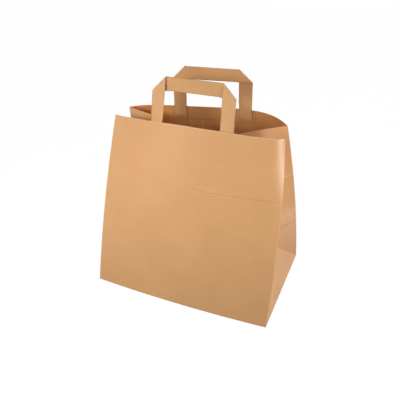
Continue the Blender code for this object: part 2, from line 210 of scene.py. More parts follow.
def markStrength(tree, flat, mark):
    # Strongest on the mark's line, and fading to its sides and ends
    start = Vector((*mark.start, 0))
    way = Vector((*mark.end, 0)) - start
    along = way.normalized()
    offset = nodeOf(tree, "ShaderNodeVectorMath", operation="SUBTRACT")
    tree.links.new(flat, offset.inputs[0])
    offset.inputs[1].default_value = start
    travel, away = [nodeOf(tree, "ShaderNodeVectorMath", operation="DOT_PRODUCT")
                    for direction in range(2)]
    for node, direction in ((travel, along), (away, Vector((-along.y, along.x, 0)))):
        tree.links.new(offset.outputs[0], node.inputs[0])
        node.inputs[1].default_value = direction
    aside = mathNode(tree, "ABSOLUTE", away.outputs["Value"])
    near = rangeNode(tree, aside, 0.0, mark.width, mark.strength, 0.0)
    fade = min(kraft["markEnd"], way.length / 3)
    begin = rangeNode(tree, travel.outputs["Value"], 0.0, fade, 0.0, 1.0)
    end = rangeNode(tree, travel.outputs["Value"], way.length - fade / 2, way.length, 1.0, 0.0)
    return mathNode(tree, "MULTIPLY", near, mathNode(tree, "MULTIPLY", begin, end))


def awayFrom(tree, value, place):
    return mathNode(tree, "ABSOLUTE", mathNode(tree, "SUBTRACT", value, place))


def diagonalAway(tree, along, height, middle):
    # Distance from the two diagonal creases of a gusset's foot
    over = awayFrom(tree, along, middle)
    return awayFrom(tree, mathNode(tree, "ADD", over, height), sheet["depth"] / 2)


def kraftTone(tree, flat, pale, deep):
    # Cloudy tone with dark specks, and the relief of its fibres
    clouds = noiseNode(tree, flat, kraft["clouds"], 3.0, 0.55)
    formation = noiseNode(tree, flat, kraft["formation"], 3.0, 0.6)
    fibres = noiseNode(tree, stretched(tree, flat, kraft["fibres"]), 1.0, 3.0, 0.65)
    tone = mathNode(tree, "MULTIPLY", clouds, kraft["shares"][0])
    for pattern, share in zip((formation, fibres), kraft["shares"][1:]):
        tone = mathNode(tree, "ADD", tone, mathNode(tree, "MULTIPLY", pattern, share))
    color = mixNode(tree, rangeNode(tree, tone, 0.36, 0.64, 0.0, 1.0), deep, pale)
    specks = noiseNode(tree, stretched(tree, flat, kraft["specks"]), 1.0, 1.0, 0.4)
    color = mixNode(tree, rangeNode(tree, specks, 0.74, 0.82, 0.0, 0.35), color, kraft["fleckAndShade"])
    return color, mathNode(tree, "ADD", mathNode(tree, "MULTIPLY", fibres, 0.6), formation)


def kraftMaterial(name, pale, deep, finish, folds=(), rim=None, marks=(), diagonals=(), edges=()):
    # folds are places along the sheet and diagonals the gussets' middles, which get pale lines of
    # wear and painted highlight, rim its height, with a painted highlight below it, and edges the
    # axis and place of edges darkened with painted shade
    material = bpy.data.materials.new(name)
    material.use_nodes = True
    tree = material.node_tree
    shader = tree.nodes["Principled BSDF"]
    flat = nodeOf(tree, "ShaderNodeUVMap", uv_map="flatSheet").outputs[0]
    color, relief = kraftTone(tree, flat, pale, deep)
    split = nodeOf(tree, "ShaderNodeSeparateXYZ")
    tree.links.new(flat, split.inputs[0])

    gaps = rangeNode(tree, noiseNode(tree, flat, kraft["markGapScale"], 2.0, 0.6), 0.35, 0.62, 0.35, 1.0)
    for mark in marks:
        strength = mathNode(tree, "MULTIPLY", markStrength(tree, flat, mark), gaps)
        color = mixNode(tree, strength, color, kraft[mark.tone])
    # Painted shade along the piece's edges and ends, where shadows and gaps fall
    for axis, place in edges:
        away = awayFrom(tree, split.outputs[axis], place)
        dark = rangeNode(tree, away, *kraft["edgeBand"], kraft["edgeShade"], 0.0)
        color = mixNode(tree, dark, color, kraft["fleckAndShade"])

    # Pale lines along the folds, seams and diagonal creases, partly rubbed wear and partly painted
    # highlight, and a painted highlight just below the rim
    wearAndHighlightMasks = []
    for place in folds:
        away = awayFrom(tree, split.outputs[0], place)
        wearAndHighlightMasks.append(rangeNode(tree, away, 0.0, kraft["foldWidth"], kraft["foldWearAndHighlight"], 0.0))
    for middle in diagonals:
        away = diagonalAway(tree, split.outputs[0], split.outputs[1], middle)
        wearAndHighlightMasks.append(rangeNode(tree, away, 0.0, kraft["foldWidth"], kraft["diagonalWearAndHighlight"], 0.0))
    if rim is not None:
        begin, whole = [rim - below for below in kraft["rimBand"]]
        wearAndHighlightMasks.append(rangeNode(tree, split.outputs[1], begin, whole, 0.0, kraft["rimHighlight"]))
    if wearAndHighlightMasks:
        wornAndHighlight = wearAndHighlightMasks[0]
        for other in wearAndHighlightMasks[1:]:
            wornAndHighlight = mathNode(tree, "MAXIMUM", wornAndHighlight, other)
        color = mixNode(tree, wornAndHighlight, color, kraft["wornAndHighlight"])
    tree.links.new(color, shader.inputs["Base Color"])

    bump = nodeOf(tree, "ShaderNodeBump")
    bump.inputs["Strength"].default_value = kraft["grain"]
    bump.inputs["Distance"].default_value = kraft["grainHeight"]
    tree.links.new(relief, bump.inputs["Height"])
    tree.links.new(bump.outputs[0], shader.inputs["Normal"])
    shader.inputs["Roughness"].default_value = finish[0]
    shader.inputs["Specular IOR Level"].default_value = finish[1]
    return material


sharpAngle = math.radians(22)       # edges that turn more are drawn as creases


def makePiece(name, mesh, materials, slot, *nodes):
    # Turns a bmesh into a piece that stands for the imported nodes
    bmesh.ops.triangulate(mesh, faces=[face for face in mesh.faces if len(face.verts) > 4])
    bmesh.ops.recalc_face_normals(mesh, faces=mesh.faces[:])
    data = bpy.data.meshes.new(name)
    mesh.to_mesh(data)
    mesh.free()
    for material in materials:
        data.materials.append(material)
    data.shade_smooth()
    data.set_sharp_from_angle(angle=sharpAngle)
    item = bpy.data.objects.new(name, data)
    bpy.context.collection.objects.link(item)
    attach(item, "root")
    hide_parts(*nodes)
    print(name, "made,", len(data.polygons), "faces")
    return item


# The folded sheet: front, back, two gussets and the block bottom

sheet = {
    "width": 0.260,             # front and back panel
    "depth": 0.170,             # gusset
    "height": 0.250,            # base fold to rim, along the paper
    "paper": 0.00013,           # thickness
    "baseOverlap": 0.030,
    "seamPlace": -0.011,        # outer edge of the glued seam on the back panel
    "seamOverlap": 0.019,
    "seamFade": 0.026,          # width over which the lap's outer layer rises
    "cutEdge": 0.0003,          # width of the step at a cut edge
    "footBow": 0.004,           # the long base folds bulge out in the middle
    "gussetLean": math.radians(30),
    "triangleRows": 34,         # rows and half columns in the foot triangle of a gusset
    "upperRows": 62,
    "frontColumns": 150,
    "backColumns": 98,
    "imprint": 0.1675,          # height of the line pressed across the sheet, with finer rows
    "imprintRow": 0.0008,
    "creaseRow": 0.0007,        # two finer rows above the gussets' lower crease
    "baseMap": (0.13, -0.20),   # where the base lies on the map, below the walls
}
foot = 2 * sheet["paper"]

# side and face say which corner of the base a fold rises from, pinch and lean how far its
# top moves in, early how soon it leans, sag how much lower its corner stands
Fold = namedtuple("Fold", "side face pinch lean early sag")
frontLeft = Fold(-1, -1, 0.004, 0.083, 0.39, 0.004)
frontRight = Fold(1, -1, 0.008, 0.059, 0.89, 0.0015)
backRight = Fold(1, 1, 0.0165, 0.066, 0.50, 0.0)
backLeft = Fold(-1, 1, 0.017, 0.070, 0.50, 0.0)

# bow is how far the rim bulges out, power how flat the bulge is, skew its lean to one side
Panel = namedtuple("Panel", "left right face bow power skew")
frontPanel = Panel(frontLeft, frontRight, -1, 0.024, 2, 0.0)
backPanel = Panel(backLeft, backRight, 1, 0.0225, 4, 0.0145)

# tuck is the angle at which the front half runs inwards at the rim, slack the paper that
# its curves take up, and the bulges say how far its halves curve
Gusset = namedtuple("Gusset", "side front back tuck slack frontBulge backBulge")
rightGusset = Gusset(1, frontRight, backRight, math.radians(1.5), 0.004, 0.006, 0.003)
leftGusset = Gusset(-1, frontLeft, backLeft, math.radians(5.0), 0.0157, 0.010, -0.0025)

# Creases in the paper of the front panel: start and end from the middle of the panel and up
# from the base fold, how far they stand out, and their half width
Crease = namedtuple("Crease", "start end rise width")
frontCreases = [
    Crease((0.004, 0.1685), (0.129, 0.1665), -0.00024, 0.0016),
    Crease((0.036, 0.1680), (0.130, 0.1665), -0.00020, 0.0020),
    Crease((0.020, 0.1720), (0.120, 0.1700), 0.00036, 0.0060),
    Crease((0.012, 0.191), (0.034, 0.180), 0.00030, 0.0030),
    Crease((0.044, 0.208), (0.058, 0.205), 0.00026, 0.0030),
    Crease((0.002, 0.052), (0.016, 0.080), -0.00030, 0.0035),
    Crease((0.024, 0.111), (0.026, 0.101), 0.00026, 0.0030),
    Crease((0.053, 0.106), (0.064, 0.091), -0.00026, 0.0040),
]
backCreases = [
    Crease((-0.0347, 0.010), (-0.0347, 0.252), 0.00030, 0.0020),
    Crease((-0.0129, 0.010), (-0.0129, 0.252), -0.00030, 0.0020),
    Crease((0.006, 0.120), (0.003, 0.252), 0.00022, 0.0040),
    Crease((0.030, 0.150), (0.022, 0.252), -0.00020, 0.0050),
]
# The same for a gusset, whose halves run from 0 at the centre crease to 0.085 at their
# folds, front half below 0
gussetCreases = [
    Crease((0.006, 0.0858), (0.084, 0.0858), -0.00012, 0.0010),
    Crease((0.004, 0.170), (0.083, 0.170), 0.00035, 0.0030),
    Crease((0.080, 0.120), (0.030, 0.140), 0.00040, 0.0090),
    Crease((-0.083, 0.170), (-0.004, 0.170), 0.00030, 0.0030),
]
# Heights at which a gusset was folded across: it stands out most there, and less over the
# widths above and below
gussetFolds = [
    {"height": 0.085, "above": 0.034, "below": 0.040, "rise": 0.0036},
    {"height": 0.170, "above": 0.014, "below": 0.018, "rise": 0.0010},
]
# The front swells by rise beside its right edge, curls back over width, and runs level over
# settle. This starts at the height from and is whole at the rim
curl = {"width": 0.018, "rise": 0.0036, "from": 0.135, "settle": 0.060}
# Size and rise of the large and the small waves in the paper, where their noise starts, and
# the border along the folds in which they fade out
panelWaves = {"sizes": (0.075, 0.028), "rises": (0.0011, 0.00022), "border": 0.03,
              "frontStarts": (3.7, 8.7), "backStarts": (8.1, 13.1)}
gussetWaves = {"sizes": (0.060, 0.022), "rises": (0.0011, 0.0003), "border": 0.022,
               "starts": (12.3, 17.9)}


def foldPoint(fold, height):
    share = height / sheet["height"]
    pinch = fold.pinch * share ** 2
    lean = fold.lean * (2 * fold.early * share * (1 - share) + share ** 2)
    rise = math.sqrt(sheet["height"] ** 2 - fold.pinch ** 2 - fold.lean ** 2) - fold.sag
    x = fold.side * (sheet["width"] / 2 - pinch)
    y = fold.face * (sheet["depth"] / 2 - lean)
    return Vector((x, y, foot + rise * share))


def ridge(crease, place, height):
    # Relief of one crease at a place of the flat panel
    start = Vector(crease.start)
    along = Vector(crease.end) - start
    offset = Vector((place, height)) - start
    share = offset.dot(along) / along.length_squared
    away = abs(offset.x * along.y - offset.y * along.x) / along.length
    if away > crease.width or not 0 < share < 1:
        return 0.0
    ends = min(1.0, min(share, 1 - share) * along.length / (3 * crease.width))
    return crease.rise * smooth(ends) * (1 - away / crease.width)


def wavesAt(place, height, waves, starts):
    return sum(rise * noise.noise(Vector((place / size, height / size, start)))
               for size, rise, start in zip(waves["sizes"], waves["rises"], starts))


def panelRelief(panel, across, height):
    # How far the paper stands out from its plain bowed shape
    front = panel is frontPanel
    place = across * sheet["width"] / 2
    border = panelWaves["border"]
    inside = smooth((1 - abs(across)) * sheet["width"] / 2 / border) * smooth(height / border)
    starts = panelWaves["frontStarts"] if front else panelWaves["backStarts"]
    relief = inside * wavesAt(place, height, panelWaves, starts)
    creases = frontCreases if front else backCreases
    relief += sum(ridge(crease, place, height) for crease in creases)
    if front:
        relief += edgeCurl(sheet["width"] / 2 - place, height)
    return relief


def edgeCurl(away, height):
    # The right edge of the front panel curls back towards the rim
    share = smooth((height - curl["from"]) / (sheet["height"] - curl["from"]))
    if away < curl["width"]:
        rise = 1 - (1 - away / curl["width"]) ** 3
    else:
        rise = 1 - smooth((away - curl["width"]) / curl["settle"])
    return curl["rise"] * share * rise


def bowedPoint(panel, across, share):
    # A place of the plain panel between its two folds, bowed out more towards the rim
    height = sheet["height"] * share
    left = foldPoint(panel.left, height)
    right = foldPoint(panel.right, height)
    point = left.lerp(right, (across + 1) / 2)
    bow = sheet["footBow"] + (panel.bow - sheet["footBow"]) * share
    bow *= 1 - abs(across) ** panel.power
    skew = panel.skew * share * across * (1 - across ** 2)
    point.y += panel.face * (bow + skew)
    return point


def panelPoint(panel, across, height):
    # A place of the panel. The paper keeps its length, so what leans or bows stands lower
    share = height / sheet["height"]
    point = bowedPoint(panel, across, share)
    travel = bowedPoint(panel, across, 1) - bowedPoint(panel, across, 0)
    sag = abs(across) * (panel.left.sag if across < 0 else panel.right.sag)
    rise = math.sqrt(sheet["height"] ** 2 - travel.x ** 2 - travel.y ** 2) - sag
    point.z = foot + rise * share
    point.y += panel.face * panelRelief(panel, across, height)
    return point


def panelInside(panel, across, height, depth):
    # The place that lies by depth behind the panel's outer face
    step = 0.01
    sideways = panelPoint(panel, across + step, height) - panelPoint(panel, across - step, height)
    upwards = panelPoint(panel, across, height) - panelPoint(panel, across, height - step * 0.25)
    outward = sideways.cross(upwards).normalized()
    return panelPoint(panel, across, height) + panel.face * depth * outward


def acrossAtRim(panel, x):
    left = foldPoint(panel.left, sheet["height"]).x
    right = foldPoint(panel.right, sheet["height"]).x
    return 2 * (x - left) / (right - left) - 1


def gussetTip(gusset):
    # Where the centre crease meets the two diagonals
    inset = sheet["depth"] / 2 * math.sin(sheet["gussetLean"])
    rise = sheet["depth"] / 2 * math.cos(sheet["gussetLean"])
    return Vector((gusset.side * (sheet["width"] / 2 - inset), 0.0, foot + rise))


def creaseTop(gusset):
    # The centre crease's end at the rim
    reach = sheet["depth"] / 2 - gusset.slack
    corner = foldPoint(gusset.front, sheet["height"])
    tip = gussetTip(gusset)
    x = corner.x - gusset.side * reach * math.cos(gusset.tuck)
    y = corner.y + reach * math.sin(gusset.tuck)
    length = sheet["height"] - sheet["depth"] / 2
    climb = math.sqrt(length ** 2 - (x - tip.x) ** 2 - (y - tip.y) ** 2)
    return Vector((x, y, tip.z + climb))


def gussetRow(gusset, fold, row, height):
    # Half a gusset from its fold to the centre crease
    rows = sheet["triangleRows"]
    tip = gussetTip(gusset)
    edge = foldPoint(fold, height)
    if row > rows:
        climbed = (height - sheet["depth"] / 2) / (sheet["height"] - sheet["depth"] / 2)
        crease = tip.lerp(creaseTop(gusset), climbed)
        points = [edge.lerp(crease, step / rows) for step in range(rows + 1)]
        bulge = -gusset.frontBulge if fold is gusset.front else gusset.backBulge
        for step, point in enumerate(points):
            share = step / rows
            point.y += bulge * climbed * 4 * share * (1 - share)
        return points
    near = foldPoint(fold, 0.0).lerp(tip, row / rows)
    other = gusset.back if fold is gusset.front else gusset.front
    far = foldPoint(other, 0.0).lerp(tip, row / rows)
    points = [edge.lerp(near, step / row) for step in range(row)]
    width = 2 * (rows - row)
    points += [near.lerp(far, step / max(width, 1)) for step in range(rows - row + 1)]
    return points


def seamEdges():
    inner = sheet["seamPlace"] - sheet["seamOverlap"]
    return [inner - sheet["seamFade"], inner, inner + sheet["cutEdge"],
            sheet["seamPlace"] - sheet["cutEdge"], sheet["seamPlace"]]


def panelColumns(panel):
    fixed = [acrossAtRim(panel, x) for x in seamEdges()] if panel is backPanel else []
    columns = sheet["backColumns"] if panel is backPanel else sheet["frontColumns"]
    spacing = 2 / columns
    even = [-1 + spacing * number for number in range(1, columns)]
    free = [across for across in even
            if min((abs(across - other) for other in fixed), default=1) > spacing / 3]
    return sorted([-1.0, 1.0] + fixed + free)


def rowHeights():
    rows = sheet["triangleRows"]
    start = sheet["depth"] / 2
    heights = [start * row / rows for row in range(rows + 1)]
    span = sheet["height"] - start
    heights += [start + span * row / sheet["upperRows"] for row in range(1, sheet["upperRows"] + 1)]
    fine = [sheet["imprint"] + step * sheet["imprintRow"] for step in range(-4, 5)]
    room = 0.0005
    heights = [height for height in heights if not fine[0] - room < height < fine[-1] + room]
    return sorted(heights + fine + [start + step * sheet["creaseRow"] for step in (1, 2)])


def seamLift(across):
    # Share of one layer by which the lap stands out on the outer and the inner face
    places = seamEdges()
    fade, inner, outerEnd = [acrossAtRim(backPanel, places[number]) for number in (0, 1, 3)]
    if across <= inner:
        lift = max(0.0, (across - fade) / (inner - fade))
        return lift, lift
    if across <= outerEnd + 1e-6:
        return 1.0, 0.0
    return 0.0, 0.0


def wallRings(heights, frontAcross, backAcross):
    # One closed ring of points for each row: front, right gusset, back, left gusset
    rings = []
    for row, height in enumerate(heights):
        front = [panelPoint(frontPanel, across, height) for across in frontAcross]
        back = [panelPoint(backPanel, across, height) for across in backAcross]
        rightFront, rightBack, leftBack, leftFront = [
            relieved(gusset, fold, height, gussetRow(gusset, fold, row, height))
            for gusset, fold in ((rightGusset, frontRight), (rightGusset, backRight),
                                 (leftGusset, backLeft), (leftGusset, frontLeft))]
        ring = front + rightFront[1:] + rightBack[-2:0:-1]
        ring += back[::-1] + leftBack[1:] + leftFront[-2:0:-1]
        rings.append(ring)
    return rings


def gussetRelief(along, height):
    # How far a gusset half stands out at a place of the flat gusset
    depth = sheet["depth"] / 2
    fromFold = min(abs(along), depth - abs(along))
    inside = smooth(fromFold / gussetWaves["border"])
    relief = inside * wavesAt(along, height, gussetWaves, gussetWaves["starts"])
    relief += sum(ridge(crease, along, height) for crease in gussetCreases)
    arch = math.sin(math.pi * min(1.0, abs(along) / depth))
    for fold in gussetFolds:
        over = height - fold["height"]
        share = over / fold["above"] if over > 0 else -over / fold["below"]
        relief += fold["rise"] * arch * max(0.0, 1 - share) ** 1.2
    # The foot triangle below the diagonal creases stays flat
    return relief * smooth((abs(along) + height - depth) / 0.012) if height < depth else relief


def relieved(gusset, fold, height, points):
    # A gusset row with its relief added
    along = (points[-1] - points[0]).normalized()
    front = fold is gusset.front
    outward = along.cross(Vector((0, 0, 1))) * gusset.side * (1 if front else -1)
    steps = len(points) - 1
    for step, point in enumerate(points):
        place = (1 - step / steps) * sheet["depth"] / 2 * (-1 if front else 1)
        point += outward * gussetRelief(place, height)
    return points


def flatPlaces(frontAcross, backAcross):
    # Place of each column along the flat sheet, with the wrap column at the end
    half = sheet["width"] / 2
    rows = sheet["triangleRows"]
    step = sheet["depth"] / 2 / rows
    places = [half * (across + 1) for across in frontAcross]
    start = sheet["width"]
    places += [start + step * number for number in range(1, 2 * rows)]
    start += sheet["depth"]
    places += [start + half * (1 - across) for across in backAcross[::-1]]
    start += sheet["width"]
    places += [start + step * number for number in range(1, 2 * rows)]
    return places + [start + sheet["depth"]]


def quadNormals(rings):
    count = len(rings[0])
    return [[(low[(c + 1) % count] - high[c]).cross(high[(c + 1) % count] - low[c]).normalized()
             for c in range(count)] for low, high in zip(rings, rings[1:])]


def evenNormal(around):
    # Longer at folds, so that the paper keeps its thickness there
    mean = sum(around, Vector()).normalized()
    spread = sum(mean.dot(normal) for normal in around) / len(around)
    return mean * min(2.5, 1 / max(spread, 1e-6))


def sheetSkins(mesh, rings, backAcross, farFold, leftFold):
    # Vertices of the paper's outer and inner face, row by row
    normals = quadNormals(rings)
    count = len(rings[0])
    skins = [], []
    for row, ring in enumerate(rings):
        outerRow, innerRow = [], []
        lines = [line for line in (row - 1, row) if 0 <= line < len(normals)]
        for column, point in enumerate(ring):
            normal = evenNormal([normals[line][(column + shift) % count]
                                 for line in lines for shift in (-1, 0)])
            liftOut, liftIn = 0.0, 0.0
            if farFold < column < leftFold:
                liftOut, liftIn = seamLift(backAcross[::-1][column - farFold])
            if row == 0:
                normal = Vector((normal.x, normal.y, 0)).normalized()
            outside = point + normal * sheet["paper"] * liftOut
            inside = point - normal * sheet["paper"] * (1 - liftIn)
            if row == 0:
                inside.z = foot + sheet["paper"]
            outerRow.append(mesh.verts.new(outside))
            innerRow.append(mesh.verts.new(inside))
        skins[0].append(outerRow)
        skins[1].append(innerRow)
    return skins


def addFace(mesh, flatMap, verts, spots, side=0):
    face = mesh.faces.new(verts)
    face.material_index = side
    for loop in face.loops:
        loop[flatMap].uv = spots[verts.index(loop.vert)]


def buildWalls(mesh, flatMap, skins, heights, places, corners):
    # Triangles cut the way the diagonals of the gussets' feet run, and the cut edge at the rim
    rightFold, farFold, leftFold = corners[1:]
    half = sheet["triangleRows"]
    count = len(skins[0][0])
    for row in range(len(heights) - 1):
        low, high = heights[row], heights[row + 1]
        for column in range(count):
            after = (column + 1) % count
            near, far = places[column], places[column + 1]
            spots = ((near, low), (far, low), (far, high), (near, high))
            falling = rightFold + half <= column < farFold or column >= leftFold + half
            order = ((0, 1, 3), (1, 2, 3)) if falling else ((0, 1, 2), (0, 2, 3))
            for side, skin in enumerate(skins):
                quad = (skin[row][column], skin[row][after],
                        skin[row + 1][after], skin[row + 1][column])
                for picks in order:
                    addFace(mesh, flatMap, [quad[pick] for pick in picks],
                            [spots[pick] for pick in picks], side)
    outerRim, innerRim = skins[0][-1], skins[1][-1]
    for column in range(count):
        after = (column + 1) % count
        quad = [outerRim[column], outerRim[after], innerRim[after], innerRim[column]]
        near, far = (places[column], sheet["height"]), (places[column + 1], sheet["height"])
        addFace(mesh, flatMap, quad, [near, far, far, near])


def sheetMaterials():
    width, depth = sheet["width"], sheet["depth"]
    backStart = width + depth
    folds = (0.0, width, backStart, 2 * width + depth, 2 * (width + depth))
    outside = kraftMaterial("kraftOutside", kraft["pale"], kraft["deep"], kraft["glazed"],
                            folds=folds, rim=sheet["height"], marks=creaseShadeAndHighlights,
                            diagonals=(width + depth / 2, 2 * width + 1.5 * depth))
    # The seam's edges on the inner face get pale lines of wear and painted highlight
    seams = [backStart + width / 2 * (1 - acrossAtRim(backPanel, x))
             for x in (seamEdges()[1], sheet["seamPlace"])]
    # The inner face takes the shaded colours: painted shade of the paper inside the bag
    inside = kraftMaterial("kraftInsideShaded", kraft["innerShadedPale"], kraft["innerShadedDeep"], kraft["rough"],
                           folds=seams)
    return [outside, inside]


def buildSheet():
    heights = rowHeights()
    frontAcross = panelColumns(frontPanel)
    backAcross = panelColumns(backPanel)
    rings = wallRings(heights, frontAcross, backAcross)
    places = flatPlaces(frontAcross, backAcross)
    rightFold = len(frontAcross) - 1
    farFold = rightFold + 2 * sheet["triangleRows"]
    leftFold = farFold + len(backAcross) - 1
    corners = (0, rightFold, farFold, leftFold)
    mesh = bmesh.new()
    flatMap = mesh.loops.layers.uv.new("flatSheet")
    skins = sheetSkins(mesh, rings, backAcross, farFold, leftFold)
    buildWalls(mesh, flatMap, skins, heights, places, corners)
    mesh.faces.new(skins[1][0]).material_index = 1
    buildBase(mesh, skins[0][0], corners)
    for face in mesh.faces:
        if all(loop[flatMap].uv.length == 0 for loop in face.loops):
            for loop in face.loops:
                loop[flatMap].uv = Vector(loop.vert.co.xy) + Vector(sheet["baseMap"])
    return makePiece("paper_bag", mesh, sheetMaterials(), "kraft_paper", "bag_body")


def buildBase(mesh, ring, corners):
    # Underside of the block bottom: gusset ends deepest, the back flap over them, and the
    # front flap lowest
    frontCorner, rightCorner, farCorner, leftCorner = corners
    paper = sheet["paper"]
    halfOverlap = sheet["baseOverlap"] / 2
    meeting = sheet["width"] / 2 - sheet["depth"] / 2
    flapEnd = meeting - halfOverlap
    frontEdge = ring[frontCorner:rightCorner + 1]
    backEdge = ring[farCorner:leftCorner + 1]
    rightEdge = ring[rightCorner:farCorner + 1]
    leftEdge = ring[leftCorner:] + [ring[0]]
    frontLow = [mesh.verts.new((vert.co.x, vert.co.y, 0.0)) for vert in frontEdge]
    backLow = [mesh.verts.new((vert.co.x, vert.co.y, paper)) for vert in backEdge]
    rightMeet = [mesh.verts.new((meeting, 0.0, level * paper)) for level in range(3)]
    leftMeet = [mesh.verts.new((-meeting, 0.0, level * paper)) for level in range(3)]
    rightEnd = [mesh.verts.new((flapEnd, halfOverlap, level * paper)) for level in range(2)]
    leftEnd = [mesh.verts.new((-flapEnd, halfOverlap, level * paper)) for level in range(2)]
    for upper, lower in ((frontEdge, frontLow), (backEdge, backLow)):
        for number in range(len(upper) - 1):
            mesh.faces.new((lower[number], lower[number + 1], upper[number + 1], upper[number]))
    mesh.faces.new(frontLow[::-1] + [leftMeet[0], leftEnd[0], rightEnd[0], rightMeet[0]])
    mesh.faces.new(backLow[::-1] + [rightMeet[1], rightEnd[1], leftEnd[1], leftMeet[1]])
    mesh.faces.new(rightEdge[::-1] + [rightMeet[2]])
    mesh.faces.new(leftEdge[::-1] + [leftMeet[2]])
    mesh.faces.new((frontLow[-1], frontEdge[-1], rightMeet[2], rightMeet[1], rightMeet[0]))
    mesh.faces.new((frontEdge[0], frontLow[0], leftMeet[0], leftMeet[1], leftMeet[2]))
    mesh.faces.new((backEdge[0], backLow[0], rightMeet[1], rightMeet[2]))
    mesh.faces.new((backLow[-1], backEdge[-1], leftMeet[2], leftMeet[1]))
    mesh.faces.new((rightMeet[0], rightMeet[1], rightEnd[1], rightEnd[0]))
    mesh.faces.new((rightEnd[0], rightEnd[1], leftEnd[1], leftEnd[0]))
    mesh.faces.new((leftEnd[0], leftEnd[1], leftMeet[1], leftMeet[0]))


buildSheet()


# Handles of folded paper tape, and the strips that back their glued legs

tape = {
    "width": 0.018,
    "thickness": 0.00045,
    "glued": 0.015,             # leg below the rim
    "untwist": 0.012,           # above this the legs have turned from the panel into one plane
    "foldRadius": 0.0008,
    "foldPush": 0.4,            # of the radius, how far a fold stands out over its 45 degree line
    "foldStep": 30,             # degrees
    "opening": 0.08,            # share of the grip at each end over which it opens
    "lap": 0.64,                # the outer ply ends here across the tape
    "lapStep": 0.01,
    "edge": 0.6,                # thickness of the folded edges, of the tape's
    "gluedRows": 4,
    "legRows": 8,
    "gripRows": 24,
    "columns": 12,
    "pale": (0.710, 0.385, 0.168),
    "deep": (0.655, 0.348, 0.146),
    "finish": (0.55, 0.4),      # roughness and specular level
}
strip = {
    "height": 0.020,
    "margin": 0.004,            # beside the legs
    "gap": 0.0003,              # glue line and slack behind each layer
    "peek": 0.0006,             # the front strip stands this much above the rim
    "rows": 6,
    "columns": 48,
    "pale": (0.70, 0.335, 0.120),
    "deep": (0.64, 0.298, 0.102),
}

# face and place say where a handle stands, span and rise its size above the rim, slant how
# much higher it is on the left, lean how far it leans into the bag, splay and tip how its
# legs lean and spring the angle at which its grip opens
Handle = namedtuple("Handle", "face place span rise slant lean splay tip spring")
frontHandle = Handle(-1, 0.0045, 0.117, 0.0575, 0.0005, math.radians(6), math.radians(1.9),
                     math.radians(4.1), math.radians(12))
rearHandle = Handle(1, 0.0043, 0.1087, 0.058, 0.0012, math.radians(10), math.radians(1.0),
                    math.radians(3.6), math.radians(-3))


def panelOf(handle):
    return frontPanel if handle.face < 0 else backPanel


def legEdges(handle):
    # Places of the four edges of the two legs at the rim
    left = handle.place - handle.span / 2
    right = handle.place + handle.span / 2
    return [left, left + tape["width"], right - tape["width"], right]


def gluedPoint(handle, x, above):
    # Middle of the tape's thickness where it follows the panel
    depth = 2 * sheet["paper"] + 2 * strip["gap"] + tape["thickness"] / 2
    panel = panelOf(handle)
    return panelInside(panel, acrossAtRim(panel, x), sheet["height"] + above, depth)


def handlePlane(handle):
    # Plane of the free loop: its foot between the legs, across, up and into the bag
    edges = legEdges(handle)
    left = (gluedPoint(handle, edges[0], 0) + gluedPoint(handle, edges[1], 0)) / 2
    right = (gluedPoint(handle, edges[2], 0) + gluedPoint(handle, edges[3], 0)) / 2
    across = (right - left).normalized()
    level = Vector((-across.y, across.x, 0.0)).normalized() * -handle.face
    lean = Vector((0.0, 0.0, math.cos(handle.lean))) + level * math.sin(handle.lean)
    up = (lean - lean.dot(across) * across).normalized()
    inward = level - level.dot(across) * across
    inward = (inward - inward.dot(up) * up).normalized()
    return (left + right) / 2, across, up, inward


def legPoint(handle, x, above):
    if above <= 0:
        return gluedPoint(handle, x, above)
    middle, across, up = handlePlane(handle)[:3]
    side = 1 if x > handle.place else -1
    drift = above * (math.tan(handle.tip) - side * math.tan(handle.splay))
    level = middle + (x - handle.place + drift) * across + above * up
    curved = gluedPoint(handle, x, 0) + above * up + drift * across
    return curved.lerp(level, smooth(above / tape["untwist"]))


def tapePath(handle):
    # Lines across the tape, from one cut end over the two folds to the other
    edges = legEdges(handle)
    inward = handlePlane(handle)[3]
    legs = []
    folds = []
    rows = tape["gluedRows"]
    below = [-tape["glued"] * (1 - step / rows) for step in range(rows + 1)]
    above = [tape["untwist"] * step / rows for step in range(1, rows + 1)]
    for side, outside, inside in ((-1, edges[0], edges[1]), (1, edges[3], edges[2])):
        top = handle.rise - side * handle.slant
        leg = [(legPoint(handle, outside, height), legPoint(handle, inside, height))
               for height in below + above]
        low = legPoint(handle, outside, top - tape["width"])
        high = legPoint(handle, inside, top)
        start = leg[-1]
        for step in range(1, tape["legRows"] + 1):
            share = step / tape["legRows"]
            leg.append((start[0].lerp(low, share), start[1].lerp(high, share)))
        away = (high - low).cross(inward).normalized()
        if away.z < 0:
            away = -away
        fold = []
        for degrees in range(tape["foldStep"], 181, tape["foldStep"]):
            angle = math.radians(degrees)
            push = tape["foldPush"] * math.sin(angle) * away + (1 - math.cos(angle)) * inward
            shift = tape["foldRadius"] * push
            fold.append((low + shift, high + shift))
        legs.append(leg)
        folds.append(fold)
    leftLow, leftHigh = folds[0][-1]
    rightLow, rightHigh = folds[1][-1]
    grip = []
    for step in range(1, tape["gripRows"]):
        share = step / tape["gripRows"]
        reach = (tape["width"] + share * (handle.span - 2 * tape["width"])) / handle.span
        spring = handle.spring * smooth(min(share, 1 - share) / tape["opening"])
        high = leftHigh.lerp(rightHigh, share)
        down = leftLow.lerp(rightLow, reach) - high
        low = high + math.cos(spring) * down + math.sin(spring) * down.length * inward
        grip.append((low, high))
    return legs[0] + folds[0] + grip + folds[1][::-1] + legs[1][::-1]


